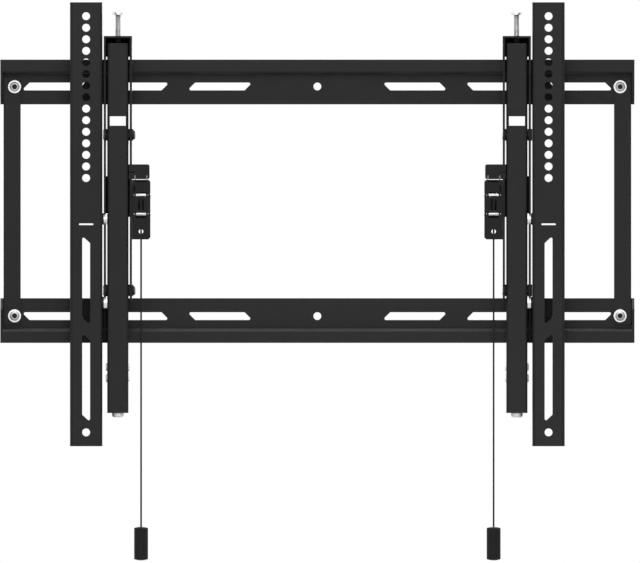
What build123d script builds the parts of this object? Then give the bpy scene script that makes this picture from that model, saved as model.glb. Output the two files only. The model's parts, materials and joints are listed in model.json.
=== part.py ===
from build123d import *
from math import cos, radians, sin, sqrt
import os

# Tilting wall bracket for a flat screen: two stepped rails joined by side bars, and two hooked arms.
# X is to the right, Y into the wall and Z up, in millimetres. The wall is the plane Y = 0, and the origin
# is midway between the rails' centre holes. A "depth" is a distance out from the wall, which is -Y.
# Each arm piece is built for the left arm, where u is measured from the arm's middle towards the bracket's
# centre, and the right arm is its mirror image.

# Wall plate
plate_width = 686.8
rail_height = 48.4
rail_gap = 210.0
rail_sheet = 2.5
lip_height = 15.1
lip_pocket = 14.0
bend_inside = 0.8
end_chamfer = 11.7
slot_height = 8.4
slot_rise = 19.4
slot_corner = 1.6
long_slot_inset = 27.3
long_slot_length = 151.5
short_slot_length = 61.9
slot_gap = 28.0
centre_hole = 8.4

# Side bars and their screws
bar_width = 18.6
bar_inset = 3.4
bar_end = 9.5
bar_sheet = 2.5
plate_screw_edge = 12.0
plate_screw_rise = 19.1
plate_screw_shank = 6.0
plate_screw_flange = 14.0
plate_screw_flange_height = 1.3
plate_screw_dome = 10.4
plate_screw_dome_height = 2.9
plate_screw_socket = 5.0
plate_screw_end_gap = 0.4

# Arm layout
screen_spacing = 500.0
frame_sheet = 2.2
frame_width = 30.3
frame_top = 178.6
frame_front = 51.5
frame_back = 2.0
back_web_height = 22.1
inner_wall_tail = 11.5
outer_wall_tail = 55.5
hook_play = 0.7
hook_seat_gap = 0.3
tongue_gap = 1.2
wall_corner = 3.0

# Feet of the frame, behind the screen bar
foot_length = 25.3
foot_overlap = 8.0
foot_height = 25.0
foot_rise = 1.5

# Tilt channel
tilt_gap = 1.5
channel_sheet = 2.0
channel_stand = 0.5
channel_flange = 18.0
channel_top_gap = 8.0
channel_bottom = -229.1
window_top = 91.7
window_height = 10.1
pin_inset = 8.5
pivot_z = -96.5
guide_z = 71.8
tilt_angle = 10.0
ear_width = 15.0

# Pins of the tilt
pin_diameter = 6.0
pin_play = 0.1
pin_head = 11.0
pin_head_height = 0.8
pin_cap = 10.4
pin_cap_height = 2.6
pin_washer = 12.8
pin_washer_thickness = 1.35
washer_play = 0.1

# Screen bar
screen_bar_gap = 1.55
screen_bar_width = 35.0
screen_bar_sheet = 2.5
screen_bar_stand = 3.0
screen_bar_flange = 18.0
screen_bar_top = 215.0
screen_bar_bottom = -265.0
hole_diameter = 8.5
hole_pitch = 12.5
hole_count = 15
hole_inset = 15.0
thin_slot_width = 1.8
thin_slot_length = 15.6
thin_slot_z = -25.0
tall_slot_width = 8.45
tall_slot_length = 88.0
tall_slot_slant = 7.8
tall_slot_z = (-85.5, -190.8)
tall_slot_corner = 1.5

# Bolts between screen bar and channel
joint_nut_gap = 0.4
joint_bolt_z = (-19.2, -109.6)
joint_bolt_diameter = 6.0
joint_bolt_play = 0.2
joint_head = 11.0
joint_head_height = 3.2
joint_nut = 10.0
joint_nut_height = 5.0
spacer_flats = 12.0
spacer_washer = 12.6
spacer_washer_thickness = 1.5
notch_play = 0.5

# Levelling screw, its nut and the shoe that it stands on
screw_shank = 5.9
screw_head = 12.6
screw_head_height = 4.2
screw_head_top = 206.0
screw_socket = 5.0
level_nut = 10.0
level_nut_height = 5.0
thread_play = 0.1
shoe_width = 12.0
shoe_roof = 3.5
shoe_skirt = 5.0
shoe_cheek = 2.5
shoe_play = 0.1

# Foot of the channel
plug_height = 56.0
plug_depth = 14.0
plug_play = 0.15
plug_screw_z = (-179.4, -191.5)
plug_screw_head = 8.4
plug_screw_head_height = 1.6
plug_screw_shank = 4.0
plug_screw_length = 7.0
end_screw_head = 12.8
end_screw_head_height = 4.8
end_screw_shank = 5.0
end_screw_length = 16.0

# Latch
base_outer_bottom = -14.0
base_outer_top = 27.2
base_inner_bottom = -17.0
base_inner_top = 39.8
base_wing_top = 16.0
latch_travel = 12.0
latch_sheet = 2.5
latch_side_gap = 1.4
latch_gap = 0.3
latch_end = 6.5
latch_arm_height = 14.0
latch_arm_reach = 9.1
hook_floor_gap = 8.0
hook_tongue_gap = 3.5
hook_overlap = 3.0
guide_screw_z = (-10.0, 10.0)
guide_screw_shank = 4.0
guide_screw_head = 7.5
guide_screw_head_height = 2.0
guide_screw_play = 0.3

# Release slider on the latch, with the tab above it
tab_bottom = 23.8
tab_reach = 19.2
tab_gap = 0.4
tab_crease_length = 7.8
tab_crease_height = 2.2
tab_crease_depth = 1.5
tab_crease_z = 31.0
tab_corner = 2.2
tab_shelf = 10.0
slider_gap = 0.15
slider_width = 19.9
slider_tab_gap = 0.7
slider_height = 64.5
slider_sheet = 1.2
slider_depth = 10.0
slider_corner = 3.0
slider_chamfer = 2.2
cross_pin_z = (6.5, -13.8)
cross_pin_diameter = 3.6
cross_pin_overhang = 0.8
cross_window_width = 10.9
cross_window_height = 3.6
end_window_width = 0.9
end_window_height = 2.6
groove_width = 6.3
groove_top = 1.6
groove_bottom = -9.6
sight_hole = 5.0
sight_hole_z = -32.8
joint_screw_shank = 4.0
joint_screw_head = 7.0
joint_screw_head_height = 1.8
rod_spread = 12.6
rod_diameter = 0.9
rod_head = 3.2
rod_head_height = 1.0
rod_seat_z = -8.0
rod_play = 0.12
rod_notch_height = 4.0
spring_diameter = 3.6
spring_wire = 0.6
spring_gap = 0.2

# Pull cord and handle
cord_diameter = 1.9
cord_offset = 9.85
cord_inset = 7.0
cord_hole_play = 0.4
knot_diameter = 3.9
handle_diameter = 15.1
handle_top = -352.1
handle_length = 36.5
handle_crown = 1.4
handle_edge = 0.8
cord_socket_depth = 8.0
cord_socket_play = 0.25

# Rounding and sockets of the screw heads, as shares of the head's height
dome_share = 0.8
button_share = 0.5
socket_share = 0.75

# Places that follow from the sizes above
rail_inner_z = rail_gap / 2
rail_outer_z = rail_inner_z + rail_height
step_z = rail_outer_z - lip_height
step_top = step_z + rail_sheet
lip_front = lip_pocket + rail_sheet
bend_outside = bend_inside + rail_sheet
bar_front = rail_sheet + bar_sheet
plate_screw_x = plate_width / 2 - bar_inset - plate_screw_edge
plate_screw_z = rail_inner_z + plate_screw_rise
bar_length = 2 * (plate_screw_z + bar_end)
long_slot_end = plate_width / 2 - long_slot_inset
long_slot_start = long_slot_end - long_slot_length
short_slot_end = long_slot_start - slot_gap
short_slot_start = short_slot_end - short_slot_length
wall_outside = frame_width / 2
wall_inside = wall_outside - frame_sheet
screen_bar_offset = wall_outside + screen_bar_gap + screen_bar_width / 2
arm_axis = screen_spacing / 2 - screen_bar_offset
inner_wall_bottom = pivot_z - inner_wall_tail
outer_wall_bottom = pivot_z - outer_wall_tail
foot_reach = wall_outside + foot_length
channel_front = frame_front + channel_stand
channel_top = frame_top - channel_top_gap
pin_depth = frame_front - pin_inset
screen_bar_front = channel_front + screen_bar_stand
first_hole_z = screen_bar_top - hole_inset
last_hole_z = screen_bar_bottom + hole_inset
wall_rear = lip_front + hook_play
tongue_front = lip_pocket - hook_play
channel_side = wall_inside - tilt_gap
channel_width = 2 * channel_side
channel_inside = channel_side - channel_sheet
joint_bolt_depth = channel_front - channel_sheet - bend_inside - joint_nut_gap - joint_nut / 2
spacer_corner = spacer_flats / sqrt(3)
plug_front = channel_front - channel_sheet - plug_play
plug_screw_depth = plug_front - plug_depth / 2
latch_width = 2 * (channel_inside - latch_side_gap)
latch_top = max(guide_screw_z) + latch_travel + latch_end
tilt_radius = guide_z - pivot_z
screen_bar_inner_side = screen_bar_width / 2 - screen_bar_offset
level_depth = lip_pocket + rail_sheet / 2
shoe_top = rail_outer_z + shoe_roof
base_front = wall_rear + frame_sheet
latch_rear = base_front + latch_gap
latch_front = latch_rear + latch_sheet
hook_floor_top = -rail_outer_z - hook_floor_gap
hook_floor_bottom = hook_floor_top - latch_sheet
hook_tongue_front = lip_pocket - hook_tongue_gap
hook_tongue_top = -rail_outer_z + hook_overlap
slider_start = wall_outside + slider_gap
slider_end = slider_start + slider_width
slider_top = tab_bottom - slider_tab_gap
slider_bottom = slider_top - slider_height
tab_start = channel_side + tab_gap
tab_end = wall_outside + tab_reach
cord_u = slider_start + cord_offset
cord_depth = frame_front - cord_inset
latch_arm_end = slider_start + latch_arm_reach
slider_rear = frame_front - slider_depth
slider_plate_rear = frame_front - slider_sheet
cross_pin_depth = slider_plate_rear - cross_pin_diameter / 2
joint_screw_u = (slider_start + slider_sheet + latch_arm_end) / 2
shelf_top = base_inner_top - rod_head_height
rod_places = (cord_u - rod_spread / 2, cord_u + rod_spread / 2)
flap_top = groove_top + slider_sheet
knot_z = flap_top + knot_diameter / 2
cord_end = handle_top - cord_socket_depth


def section_plane(x):
    """Upright plane across X: its x is the depth, its y is Z, and it extrudes towards -X."""
    return Plane(origin=(x, 0, 0), x_dir=(0, -1, 0), z_dir=(-1, 0, 0))


def front_plane(depth):
    """Upright plane along the wall at a depth: its x is X, its y is Z, and it extrudes out from the wall."""
    return Plane.XZ.offset(depth)


def arm_side(u):
    """Section plane at u on the left arm."""
    return section_plane(u - arm_axis)


def arm_front(depth):
    """Plane along the wall with its x as u on the left arm."""
    return Plane(origin=(-arm_axis, -depth, 0), x_dir=(1, 0, 0), z_dir=(0, -1, 0))


def arm_level(z):
    """Level plane at z with its x as u on the left arm and its y as Y, so a depth counts as negative."""
    return Plane(origin=(-arm_axis, 0, z), x_dir=(1, 0, 0), z_dir=(0, 0, 1))


def nearest(builder, *points):
    """The corners of a sketch in the making that lie nearest to the given points."""
    return [builder.vertices().sort_by_distance(Vector(*point))[0] for point in points]


def outline(*points):
    """Fill the closed outline through the points, in the sketch that is open."""
    with BuildLine() as edge:
        Polyline(*points, close=True)
    make_face(edge.edges())


def slanted_slot(start, end, height, lean, corner):
    """A slot along x whose ends lean, in the sketch that is open: start and end hold at half height."""
    shift = lean * height / 2
    low = -height / 2
    high = height / 2
    with BuildSketch(mode=Mode.PRIVATE) as slot:
        outline((start - shift, low), (end - shift, low), (end + shift, high), (start + shift, high))
        fillet(slot.vertices(), corner)
    add(slot.sketch)


def swung(depth, z, angle):
    """Where a point of the channel, at a depth and z at rest, comes to at a tilt in degrees."""
    out = depth - pin_depth
    up = z - pivot_z
    turn = radians(angle)
    return pin_depth + out * cos(turn) + up * sin(turn), pivot_z + up * cos(turn) - out * sin(turn)


def channel_section(builder, middle, width, front, flange, sheet):
    """Bent section of a channel that opens to the wall, in a sketch on a level plane."""
    left = middle - width / 2
    right = middle + width / 2
    rear = flange - front
    outline(
        (left, rear), (left, -front), (right, -front), (right, rear),
        (right - sheet, rear), (right - sheet, sheet - front),
        (left + sheet, sheet - front), (left + sheet, rear),
    )
    fillet(nearest(builder, (left, -front), (right, -front)), bend_inside + sheet)
    fillet(nearest(builder, (left + sheet, sheet - front), (right - sheet, sheet - front)), bend_inside)


# Upper rail: a Z-shaped section with the lip standing off the wall, closed by a folded flange at each end
with BuildPart() as upper_rail:
    with BuildSketch(section_plane(plate_width / 2)) as rail_section:
        outline(
            (0, rail_inner_z), (rail_sheet, rail_inner_z), (rail_sheet, step_z), (lip_front, step_z),
            (lip_front, rail_outer_z), (lip_pocket, rail_outer_z), (lip_pocket, step_top), (0, step_top),
        )
        fillet(nearest(rail_section, (rail_sheet, step_z), (lip_pocket, step_top)), bend_inside)
        fillet(nearest(rail_section, (lip_front, step_z), (0, step_top)), bend_outside)
    extrude(amount=plate_width)
    for flange_x in (plate_width / 2, rail_sheet - plate_width / 2):
        with BuildSketch(section_plane(flange_x)):
            outline(
                (0, rail_inner_z), (lip_front - end_chamfer, rail_inner_z),
                (lip_front, rail_inner_z + end_chamfer), (lip_front, rail_outer_z), (0, rail_outer_z),
            )
        extrude(amount=rail_sheet)
    with BuildSketch(front_plane(0)):
        for side, lean in ((-1, 1), (1, -1)):
            slot_spans = (long_slot_start, long_slot_end), (short_slot_start, short_slot_end)
            for slot_start, slot_end in slot_spans:
                near, far = sorted((side * slot_start, side * slot_end))
                with Locations((0, rail_inner_z + slot_rise)):
                    slanted_slot(near, far, slot_height, lean, slot_corner)
        with Locations((0, rail_inner_z + slot_rise)):
            Circle(centre_hole / 2)
        with Locations((-plate_screw_x, plate_screw_z), (plate_screw_x, plate_screw_z)):
            Circle(plate_screw_shank / 2 + thread_play)
    extrude(amount=rail_sheet, mode=Mode.SUBTRACT)

with BuildPart() as lower_rail:
    mirror(upper_rail.part, about=Plane.XY)

# Side bars: flat strips over both rails, with the screws that hold them
with BuildPart() as left_side_bar:
    with BuildSketch(front_plane(rail_sheet)) as bar_outline:
        with Locations((bar_inset + bar_width / 2 - plate_width / 2, 0)):
            Rectangle(bar_width, bar_length)
        for z in (-plate_screw_z, plate_screw_z):
            with Locations((-plate_screw_x, z)):
                Circle(plate_screw_shank / 2 + joint_bolt_play, mode=Mode.SUBTRACT)
    extrude(amount=bar_sheet)

with BuildPart() as right_side_bar:
    mirror(left_side_bar.part, about=Plane.YZ)

with BuildPart() as plate_screws:
    with BuildSketch(front_plane(bar_front)):
        with GridLocations(2 * plate_screw_x, 2 * plate_screw_z, 2, 2):
            Circle(plate_screw_flange / 2)
    extrude(amount=plate_screw_flange_height)
    with BuildSketch(front_plane(bar_front + plate_screw_flange_height)):
        with GridLocations(2 * plate_screw_x, 2 * plate_screw_z, 2, 2):
            Circle(plate_screw_dome / 2)
    extrude(amount=plate_screw_dome_height)
    fillet(plate_screws.faces().group_by(Axis.Y)[0].edges(), plate_screw_dome_height * dome_share)
    with BuildSketch(front_plane(bar_front + plate_screw_flange_height + plate_screw_dome_height)):
        with GridLocations(2 * plate_screw_x, 2 * plate_screw_z, 2, 2):
            RegularPolygon(plate_screw_socket / 2, 6, major_radius=False)
    extrude(amount=-plate_screw_dome_height, mode=Mode.SUBTRACT)
    with BuildSketch(front_plane(bar_front)):
        with GridLocations(2 * plate_screw_x, 2 * plate_screw_z, 2, 2):
            Circle(plate_screw_shank / 2)
    extrude(amount=plate_screw_end_gap - bar_front)

# Screen bar: the channel with the row of holes that the screen is bolted to
with BuildPart() as screen_bar:
    with BuildSketch(arm_level(screen_bar_bottom)) as bar_section:
        channel_section(
            bar_section, -screen_bar_offset, screen_bar_width,
            screen_bar_front, screen_bar_flange, screen_bar_sheet,
        )
    extrude(amount=screen_bar_top - screen_bar_bottom)
    with BuildSketch(arm_front(screen_bar_front)):
        row = [(-screen_bar_offset, first_hole_z - hole_pitch * i) for i in range(hole_count)]
        with Locations(*row, (-screen_bar_offset, last_hole_z)):
            Circle(hole_diameter / 2)
        with Locations((-screen_bar_offset, thin_slot_z)):
            SlotOverall(thin_slot_length, thin_slot_width)
        for z in tall_slot_z:
            with Locations(Location((-screen_bar_offset, z, 0), 90)):
                slanted_slot(
                    -tall_slot_length / 2, tall_slot_length / 2, tall_slot_width,
                    tall_slot_slant / tall_slot_width, tall_slot_corner,
                )
    extrude(amount=-screen_bar_sheet, mode=Mode.SUBTRACT)
    with BuildSketch(arm_side(screen_bar_inner_side)):
        with Locations(*[(joint_bolt_depth, z) for z in joint_bolt_z]):
            Circle(joint_bolt_diameter / 2 + joint_bolt_play)
    extrude(amount=screen_bar_sheet, mode=Mode.SUBTRACT)

# Tilt channel: turns about the pivot pin, with an ear on each side whose curved slot runs on the guide pin
tilt_arc = CenterArc((pin_depth, pivot_z), tilt_radius, 90, tilt_angle)
with BuildPart() as tilt_channel:
    with BuildSketch(arm_level(channel_bottom)) as channel_outline:
        channel_section(channel_outline, 0, channel_width, channel_front, channel_flange, channel_sheet)
    extrude(amount=channel_top - channel_bottom)
    for u in (channel_side, -channel_inside):
        with BuildSketch(arm_side(u)):
            SlotArc(tilt_arc, ear_width)
        extrude(amount=channel_sheet)
    with BuildSketch(arm_side(channel_side)):
        SlotArc(tilt_arc, pin_diameter + 2 * pin_play)
        with Locations((pin_depth, pivot_z)):
            Circle(pin_diameter / 2 + pin_play)
        with Locations(*[(plug_screw_depth, z) for z in plug_screw_z]):
            Circle(plug_screw_shank / 2 + joint_bolt_play)
    extrude(amount=channel_width, mode=Mode.SUBTRACT)
    with BuildSketch(arm_side(-channel_inside)):
        with Locations(*[(joint_bolt_depth, z) for z in joint_bolt_z]):
            Circle(joint_bolt_diameter / 2 + joint_bolt_play)
    extrude(amount=channel_sheet, mode=Mode.SUBTRACT)
    with BuildSketch(arm_front(channel_front)):
        with Locations((0, window_top - window_height / 2)):
            Rectangle(2 * channel_inside, window_height)
    extrude(amount=-channel_sheet, mode=Mode.SUBTRACT)


def hook_wall(u, bottom):
    """One side wall of the hook frame, with the notch that drops over the upper lip."""
    with BuildSketch(arm_side(u)) as wall:
        outline(
            (frame_back, frame_top), (frame_front, frame_top), (frame_front, bottom), (wall_rear, bottom),
            (wall_rear, rail_outer_z + hook_seat_gap), (tongue_front, rail_outer_z + hook_seat_gap),
            (tongue_front, step_top + tongue_gap), (frame_back, step_top + tongue_gap),
        )
        fillet(nearest(wall, (frame_front, bottom), (frame_back, step_top + tongue_gap)), wall_corner)
    extrude(wall.sketch, amount=frame_sheet)


def rail_foot(direction):
    """A round-ended foot on the outer wall's rear edge: 1 for the upper rail and -1 for the lower one."""
    middle_z = direction * (rail_inner_z + foot_rise + foot_height / 2)
    round_u = foot_height / 2 - foot_reach
    with BuildSketch(arm_front(wall_rear - frame_sheet)) as foot:
        with Locations((round_u, middle_z)):
            Circle(foot_height / 2)
        with Locations(((round_u + foot_overlap) / 2, middle_z)):
            Rectangle(foot_overlap - round_u, foot_height)
    extrude(foot.sketch, amount=frame_sheet)


# Hook frame: two walls that hook over the upper lip, with the webs, the feet and the tab of the latch
with BuildPart() as hook_frame:
    hook_wall(wall_outside, inner_wall_bottom)
    hook_wall(-wall_inside, outer_wall_bottom)
    with BuildSketch(arm_level(frame_top)):
        with Locations((0, -(frame_back + frame_front) / 2)):
            Rectangle(frame_width, frame_front - frame_back)
        with Locations((0, -level_depth)):
            Circle(screw_shank / 2 + joint_bolt_play, mode=Mode.SUBTRACT)
    extrude(amount=-frame_sheet)
    with BuildSketch(arm_front(frame_back)):
        with Locations((0, frame_top - back_web_height / 2)):
            Rectangle(frame_width, back_web_height)
    extrude(amount=frame_sheet)
    for direction in (1, -1):
        rail_foot(direction)
    with BuildSketch(arm_front(wall_rear)):
        outline(
            (-wall_inside, base_outer_bottom), (0, base_outer_bottom), (0, base_inner_bottom),
            (tab_end, base_inner_bottom), (tab_end, base_wing_top), (wall_outside, base_wing_top),
            (wall_outside, base_inner_top), (0, base_inner_top), (0, base_outer_top),
            (-wall_inside, base_outer_top),
        )
        with Locations(*[(0, z) for z in guide_screw_z]):
            Circle(guide_screw_shank / 2, mode=Mode.SUBTRACT)
    extrude(amount=frame_sheet)
    with BuildSketch(arm_front(frame_front - frame_sheet)) as tab:
        outline(
            (tab_start, tab_bottom), (tab_end, tab_bottom),
            (tab_end, base_inner_top), (tab_start, base_inner_top),
        )
        fillet(nearest(tab, (tab_end, tab_bottom), (tab_end, base_inner_top)), tab_corner)
        for u in rod_places:
            with Locations((u, tab_bottom)):
                Rectangle(rod_diameter + 2 * rod_play, 2 * rod_notch_height, mode=Mode.SUBTRACT)
    extrude(amount=frame_sheet)
    with BuildSketch(arm_front(frame_front)):
        outline(
            (tab_start, tab_crease_z - tab_crease_height / 2), (tab_start + tab_crease_length, tab_crease_z),
            (tab_start, tab_crease_z + tab_crease_height / 2),
        )
    extrude(amount=-tab_crease_depth, mode=Mode.SUBTRACT)
    with BuildSketch(arm_level(shelf_top)):
        tab_shelf_end = tab_end - tab_corner
        with Locations(((wall_outside + tab_shelf_end) / 2, tab_shelf / 2 - frame_front)):
            Rectangle(tab_shelf_end - wall_outside, tab_shelf)
        for u in rod_places:
            with Locations((u, -cord_depth)):
                Circle(rod_diameter / 2, mode=Mode.SUBTRACT)
    extrude(amount=-frame_sheet)
    # Holes for the tilt pins, through both walls
    with BuildSketch(arm_side(wall_outside)):
        with Locations((pin_depth, pivot_z), (pin_depth, guide_z)):
            Circle(pin_diameter / 2)
    extrude(amount=frame_width, mode=Mode.SUBTRACT)
    # Notches in the outer wall for the spacers, which swing with the channel: the lower one runs out below
    with BuildSketch(arm_side(-wall_inside)):
        for z in joint_bolt_z:
            swing_depth, swing_z = swung(joint_bolt_depth, z, tilt_angle)
            swing_reach = spacer_corner * sin(radians(60 + tilt_angle))
            notch_rear = min(joint_bolt_depth, swing_depth) - spacer_corner - notch_play
            notch_high = max(z + spacer_flats / 2, swing_z + swing_reach) + notch_play
            notch_low = min(z - spacer_flats / 2, swing_z - swing_reach) - notch_play
            if z == min(joint_bolt_z):
                notch_low = outer_wall_bottom
            with Locations(((notch_rear + frame_front) / 2, (notch_low + notch_high) / 2)):
                Rectangle(frame_front - notch_rear, notch_high - notch_low)
    extrude(amount=frame_sheet, mode=Mode.SUBTRACT)
    # Slot in the inner wall for the arm of the latch
    with BuildSketch(arm_side(wall_outside)):
        slot_top = latch_arm_height / 2 + guide_screw_play
        slot_low = -latch_arm_height / 2 - latch_travel - guide_screw_play
        with Locations(((latch_rear + latch_front) / 2, (slot_top + slot_low) / 2)):
            Rectangle(latch_sheet + 2 * latch_gap, slot_top - slot_low)
    extrude(amount=frame_sheet, mode=Mode.SUBTRACT)


def stud(u, depth_z, diameter, length):
    """A round bar along X that runs from u towards the arm's outer side, for each (depth, z)."""
    with BuildSketch(arm_side(u)) as disc:
        with Locations(*depth_z):
            Circle(diameter / 2)
    extrude(disc.sketch, amount=length)


def washer(u, depth_z, diameter, bore, thickness):
    """A washer across the arm that runs from u towards the outer side, for each (depth, z)."""
    with BuildSketch(arm_side(u)) as ring:
        with Locations(*depth_z):
            Circle(diameter / 2)
            Circle(bore / 2, mode=Mode.SUBTRACT)
    extrude(ring.sketch, amount=thickness)


def capped_pin(z):
    """A left arm's pin through both walls and the channel: a thin head outside, a cap inside."""
    place = [(pin_depth, z)]
    cap_start = wall_outside + pin_washer_thickness
    with BuildPart() as pin:
        stud(cap_start + pin_cap_height, place, pin_cap, pin_cap_height)
        fillet(pin.faces().sort_by(Axis.X)[-1].edges(), pin_cap_height * dome_share)
        stud(cap_start, place, pin_diameter, cap_start + wall_outside)
        stud(-wall_outside, place, pin_head, pin_head_height)
        fillet(pin.faces().sort_by(Axis.X)[0].edges(), pin_head_height * dome_share)
    return pin


def flush_pin(z):
    """A right arm's pin, put in from the same side: a thin head inside, a flush end outside."""
    place = [(pin_depth, z)]
    with BuildPart() as pin:
        stud(wall_outside + pin_head_height, place, pin_head, pin_head_height)
        fillet(pin.faces().sort_by(Axis.X)[-1].edges(), pin_head_height * dome_share)
        stud(wall_outside, place, pin_diameter, frame_width + pin_washer_thickness)
    return pin


def tilt_washers(end_u):
    """Washers of both tilt pins: one at the end of the pin, and one in each gap between wall and channel."""
    places = [(pin_depth, pivot_z), (pin_depth, guide_z)]
    bore = pin_diameter + 2 * pin_play
    gap_thickness = tilt_gap - washer_play
    with BuildPart() as washers:
        washer(end_u, places, pin_washer, bore, pin_washer_thickness)
        washer(wall_inside, places, pin_washer, bore, gap_thickness)
        washer(gap_thickness - wall_inside, places, pin_washer, bore, gap_thickness)
    return washers


pivot_pin = capped_pin(pivot_z)
guide_pin = capped_pin(guide_z)
pin_washers = tilt_washers(wall_outside + pin_washer_thickness)
right_pivot_pin = flush_pin(pivot_z)
right_guide_pin = flush_pin(guide_z)
right_pin_washers = tilt_washers(-wall_outside)

# Bolts that carry the screen bar on the channel, with their nuts, spacers and washers
joint_places = [(joint_bolt_depth, z) for z in joint_bolt_z]
joint_head_start = screen_bar_inner_side - screen_bar_sheet
spacer_start = screen_bar_inner_side + spacer_washer_thickness
with BuildPart() as joint_bolts:
    stud(joint_nut_height - channel_inside, joint_places, joint_bolt_diameter,
         joint_nut_height - channel_inside - joint_head_start)
    stud(joint_head_start, joint_places, joint_head, joint_head_height)
    fillet(joint_bolts.faces().group_by(Axis.X)[0].edges(), joint_head_height * button_share)

with BuildPart() as joint_nuts:
    with BuildSketch(arm_side(joint_nut_height - channel_inside)):
        with Locations(*joint_places):
            RegularPolygon(joint_nut / 2, 6, major_radius=False, rotation=30)
            Circle(joint_bolt_diameter / 2 + thread_play, mode=Mode.SUBTRACT)
    extrude(amount=joint_nut_height)

with BuildPart() as joint_spacers:
    with BuildSketch(arm_side(-channel_side)):
        with Locations(*joint_places):
            RegularPolygon(spacer_flats / 2, 6, major_radius=False)
            Circle(joint_bolt_diameter / 2 + joint_bolt_play, mode=Mode.SUBTRACT)
    extrude(amount=-channel_side - spacer_start)

with BuildPart() as joint_washers:
    washer(spacer_start, joint_places, spacer_washer, joint_bolt_diameter + 2 * joint_bolt_play,
           spacer_washer_thickness)

# Levelling screw, with the nut under the frame's top and the shoe on the lip that it stands on
with BuildPart() as level_screw:
    with BuildSketch(arm_level(shoe_top)):
        with Locations((0, -level_depth)):
            Circle(screw_shank / 2)
    extrude(amount=screw_head_top - shoe_top - screw_head_height)
    with BuildSketch(arm_level(screw_head_top)):
        with Locations((0, -level_depth)):
            Circle(screw_head / 2)
    extrude(amount=-screw_head_height)
    fillet(level_screw.faces().sort_by(Axis.Z)[-1].edges(), screw_head_height * button_share)
    with BuildSketch(arm_level(screw_head_top)):
        with Locations((0, -level_depth)):
            RegularPolygon(screw_socket / 2, 6, major_radius=False)
    extrude(amount=-screw_head_height * socket_share, mode=Mode.SUBTRACT)

with BuildPart() as level_nut_part:
    with BuildSketch(arm_level(frame_top - frame_sheet)):
        with Locations((0, -level_depth)):
            RegularPolygon(level_nut / 2, 6, major_radius=False)
            Circle(screw_shank / 2 + thread_play, mode=Mode.SUBTRACT)
    extrude(amount=-level_nut_height)

with BuildPart() as glide_shoe:
    with BuildSketch(arm_side(shoe_width / 2)):
        groove = rail_sheet + 2 * shoe_play
        shoe_low = rail_outer_z - shoe_skirt
        with Locations((level_depth, (shoe_top + shoe_low) / 2)):
            Rectangle(groove + 2 * shoe_cheek, shoe_top - shoe_low)
        with Locations((level_depth, (rail_outer_z + shoe_low) / 2)):
            Rectangle(groove, shoe_skirt, mode=Mode.SUBTRACT)
    extrude(amount=shoe_width)

# Foot of the channel: a plug held by two screws on each side, with a screw into its end
with BuildPart() as channel_plug:
    with BuildSketch(arm_level(channel_bottom)) as plug_section:
        plug_width = 2 * (channel_inside - plug_play)
        with Locations((0, plug_depth / 2 - plug_front)):
            Rectangle(plug_width, plug_depth)
        fillet(plug_section.vertices(), bend_inside)
    extrude(amount=plug_height)
    with BuildSketch(arm_side(channel_side)):
        with Locations(*[(plug_screw_depth, z) for z in plug_screw_z]):
            Circle(plug_screw_shank / 2)
    extrude(amount=channel_width, mode=Mode.SUBTRACT)
    with BuildSketch(arm_level(channel_bottom)):
        with Locations((0, -plug_screw_depth)):
            Circle(end_screw_shank / 2)
    extrude(amount=end_screw_length, mode=Mode.SUBTRACT)

with BuildPart() as plug_screws:
    plug_places = [(plug_screw_depth, z) for z in plug_screw_z]
    stud(channel_side + plug_screw_head_height, plug_places, plug_screw_head, plug_screw_head_height)
    stud(-channel_side, plug_places, plug_screw_head, plug_screw_head_height)
    fillet(plug_screws.faces().group_by(Axis.X)[-1].edges(), plug_screw_head_height * dome_share)
    fillet(plug_screws.faces().group_by(Axis.X)[0].edges(), plug_screw_head_height * dome_share)
    stud(channel_side, plug_places, plug_screw_shank, plug_screw_length)
    stud(plug_screw_length - channel_side, plug_places, plug_screw_shank, plug_screw_length)

with BuildPart() as end_screw:
    with BuildSketch(arm_level(channel_bottom)):
        with Locations((0, -plug_screw_depth)):
            Circle(end_screw_head / 2)
    extrude(amount=-end_screw_head_height)
    fillet(end_screw.faces().sort_by(Axis.Z)[0].edges(), end_screw_head_height * button_share)
    with BuildSketch(arm_level(channel_bottom)):
        with Locations((0, -plug_screw_depth)):
            Circle(end_screw_shank / 2)
    extrude(amount=end_screw_length)

# Latch bar: a strip behind the channel, with an arm to the slider and a hook under the lower lip
with BuildPart() as latch_bar:
    with BuildSketch(arm_side(latch_width / 2)) as latch_profile:
        hook_rear = hook_tongue_front - latch_sheet
        outline(
            (latch_rear, latch_top), (latch_front, latch_top), (latch_front, hook_floor_bottom),
            (hook_rear, hook_floor_bottom), (hook_rear, hook_tongue_top),
            (hook_tongue_front, hook_tongue_top),
            (hook_tongue_front, hook_floor_top), (latch_rear, hook_floor_top),
        )
        fillet(nearest(latch_profile, (latch_front, hook_floor_bottom), (hook_rear, hook_floor_bottom)),
               bend_inside + latch_sheet)
        hook_bends = nearest(latch_profile, (hook_tongue_front, hook_floor_top), (latch_rear, hook_floor_top))
        fillet(hook_bends, bend_inside)
    extrude(amount=latch_width)
    with BuildSketch(arm_front(latch_rear)):
        with Locations((latch_arm_end / 2, 0)):
            Rectangle(latch_arm_end, latch_arm_height)
    extrude(amount=latch_sheet)
    with BuildSketch(arm_front(latch_rear)):
        track = guide_screw_shank + 2 * guide_screw_play
        for z in guide_screw_z:
            with Locations((0, z + latch_travel / 2)):
                SlotOverall(latch_travel + track, track, rotation=90)
        with Locations((joint_screw_u, 0)):
            Circle(joint_screw_shank / 2)
    extrude(amount=latch_sheet, mode=Mode.SUBTRACT)

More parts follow.
